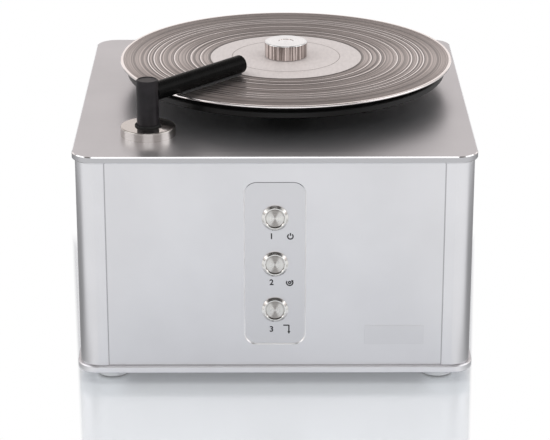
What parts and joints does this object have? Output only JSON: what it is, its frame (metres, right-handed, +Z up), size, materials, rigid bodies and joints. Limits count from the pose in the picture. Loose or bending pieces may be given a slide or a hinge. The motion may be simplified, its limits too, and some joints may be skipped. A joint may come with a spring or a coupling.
{
  "type": "record cleaning machine",
  "caption": "Record cleaning machine in an aluminium case, with a belt-driven platter under a clamped record and a swinging suction arm over a waste tank and turbine.",
  "frame": {"origin": "on the standing surface, under the middle of the whole width and depth, drain tap included", "axes": "+Z up, -Y out of the front with the push buttons, +X to the right seen from the front"},
  "size_m": [0.342, 0.3884, 0.257],
  "materials": {
    "case_metal": "satin anodised",
    "inner_metal": "machined",
    "polished_metal": "turned and polished",
    "ring_metal": "turned, warm grey",
    "black_metal": "satin black",
    "motor_metal": "painted",
    "steel": "turned",
    "button_metal": "brushed stainless",
    "nickel": "nickel plated",
    "bronze": "sintered bronze",
    "brass": "turned brass",
    "mat_rubber": "matt",
    "soft_rubber": "matt",
    "foot_rubber": "pale and translucent",
    "vinyl": "gloss with fine grooves",
    "velvet": "velvet",
    "tank_plastic": "moulded, milky",
    "black_plastic": "moulded",
    "board": "solder mask",
    "glass": "clear"
  },
  "bodies": {
    "chassis": {"top_plate": "case_metal", "bottom_plate": "case_metal", "corner_posts": "case_metal", "front_panel": "case_metal", "rear_panel": "case_metal", "left_panel": "case_metal", "right_panel": "case_metal", "tie_rods": "steel", "feet": "foot_rubber", "foot_screws": "steel", "switch_barrels": "button_metal", "switch_nuts": "nickel", "bearing_housing": "inner_metal", "bearing_bushes": "bronze", "thrust_washer": "bronze", "drive_belt": "soft_rubber", "gear_motor": "motor_metal", "motor_bracket": "inner_metal", "bracket_posts": "steel", "cap_screws": "steel", "arm_base_ring": "ring_metal", "arm_guide": "inner_metal", "post_seal": "soft_rubber", "suction_hose": "soft_rubber", "waste_tank": "tank_plastic", "tank_lid": "tank_plastic", "vacuum_hose": "soft_rubber", "turbine_housing": "black_plastic", "turbine_cover": "black_plastic", "vacuum_motor": "motor_metal", "motor_mounts": "soft_rubber", "drain_hose": "soft_rubber", "drain_tap": "nickel", "mains_inlet": "black_plastic", "inlet_screws": "steel", "control_board": "board", "board_spacers": "brass"},
    "platter": {"platter_shaft": "steel", "platter": "black_metal", "platter_mat": "mat_rubber", "record": "vinyl", "platter_pulley": "inner_metal"},
    "clamp": {"record_clamp": "polished_metal", "clamp_pad": "soft_rubber"},
    "motor_rotor": {"motor_pulley": "inner_metal", "motor_shaft": "steel"},
    "fan": {"impeller": "inner_metal", "fan_shaft": "steel"},
    "swivel": {"swivel_bush": "bronze"},
    "arm": {"arm_post": "black_metal", "stop_collar": "steel", "arm_tube": "black_metal", "arm_end_cap": "black_metal", "velvet_lips": "velvet"},
    "upper_button": {"upper_button": "button_metal"},
    "middle_button": {"middle_button": "button_metal"},
    "lower_button": {"lower_button": "button_metal"},
    "fuse_drawer": {"fuse_drawer": "black_plastic", "fuse": "glass"},
    "tap": {"tap_lever": "black_plastic"}
  },
  "joints": [
    {"name": "platter_spin", "type": "hinge", "parent": "chassis", "child": "platter", "pos_m": [0.0108, 0.0113, 0.222], "axis": [0, 0, 1], "continuous": true, "deforming": ["drive_belt"]},
    {"name": "clamp_lift", "type": "slide", "parent": "platter", "child": "clamp", "axis": [0, 0, 1], "range_m": [0, 0.014]},
    {"name": "motor_spin", "type": "hinge", "parent": "chassis", "child": "motor_rotor", "pos_m": [0.09262, -0.04599, 0.1276], "axis": [0, 0, 1], "continuous": true},
    {"name": "fan_spin", "type": "hinge", "parent": "chassis", "child": "fan", "pos_m": [0.088, 0.0778, 0.0815], "axis": [0, 0, 1], "continuous": true},
    {"name": "arm_swing", "type": "hinge", "parent": "chassis", "child": "swivel", "pos_m": [-0.1086, -0.1328, 0.2125], "axis": [0, 0, 1], "range_deg": [-70, 12]},
    {"name": "arm_lift", "type": "slide", "parent": "swivel", "child": "arm", "axis": [0, 0, 1], "range_m": [0, 0.012]},
    {"name": "upper_button_press", "type": "slide", "parent": "chassis", "child": "upper_button", "axis": [0, 1, 0], "range_m": [0, 0.0018], "stiffness_N_per_m": 400, "springref_m": -0.001},
    {"name": "middle_button_press", "type": "slide", "parent": "chassis", "child": "middle_button", "axis": [0, 1, 0], "range_m": [0, 0.0018], "stiffness_N_per_m": 400, "springref_m": -0.001},
    {"name": "lower_button_press", "type": "slide", "parent": "chassis", "child": "lower_button", "axis": [0, 1, 0], "range_m": [0, 0.0018], "stiffness_N_per_m": 400, "springref_m": -0.001},
    {"name": "fuse_drawer_pull", "type": "slide", "parent": "chassis", "child": "fuse_drawer", "axis": [0, 1, 0], "range_m": [0, 0.02]},
    {"name": "tap_turn", "type": "hinge", "parent": "chassis", "child": "tap", "pos_m": [-0.1025, 0.1682, 0.035], "axis": [0, 0, 1], "range_deg": [0, 90]}
  ],
  "couplings": [
    {"joint": "motor_spin", "follows": "platter_spin", "ratio": 3}
  ]
}
